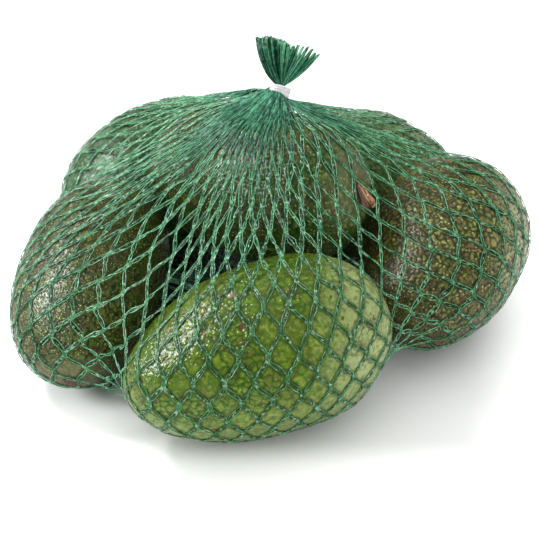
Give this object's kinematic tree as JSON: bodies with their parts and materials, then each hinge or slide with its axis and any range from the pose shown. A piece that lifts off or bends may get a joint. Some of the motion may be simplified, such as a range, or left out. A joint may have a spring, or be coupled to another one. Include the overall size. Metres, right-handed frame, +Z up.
{
  "type": "net of avocados",
  "caption": "Green knitted net drawn tight round loose avocados, gathered at the top through a small white band with the frayed cut end of the net standing above it.",
  "frame": {"origin": "middle of the pack's box, on the surface that it stands on", "axes": "+Z up through the gathered neck's end of the pack, +X to the right and -Y towards the viewer, as the pack is seen from its front"},
  "size_m": [0.1975, 0.2018, 0.1137],
  "materials": {
    "net": "knitted green plastic yarn, slightly shiny",
    "avocado_skin": "pebbled green to brown-green fruit skin with a waxy shine",
    "stem": "dry brown stem end",
    "band": "white, slightly translucent plastic"
  },
  "bodies": {
    "root": {"net_bag": "net", "band_top": "band", "band_foot": "band"}
  },
  "joints": []
}
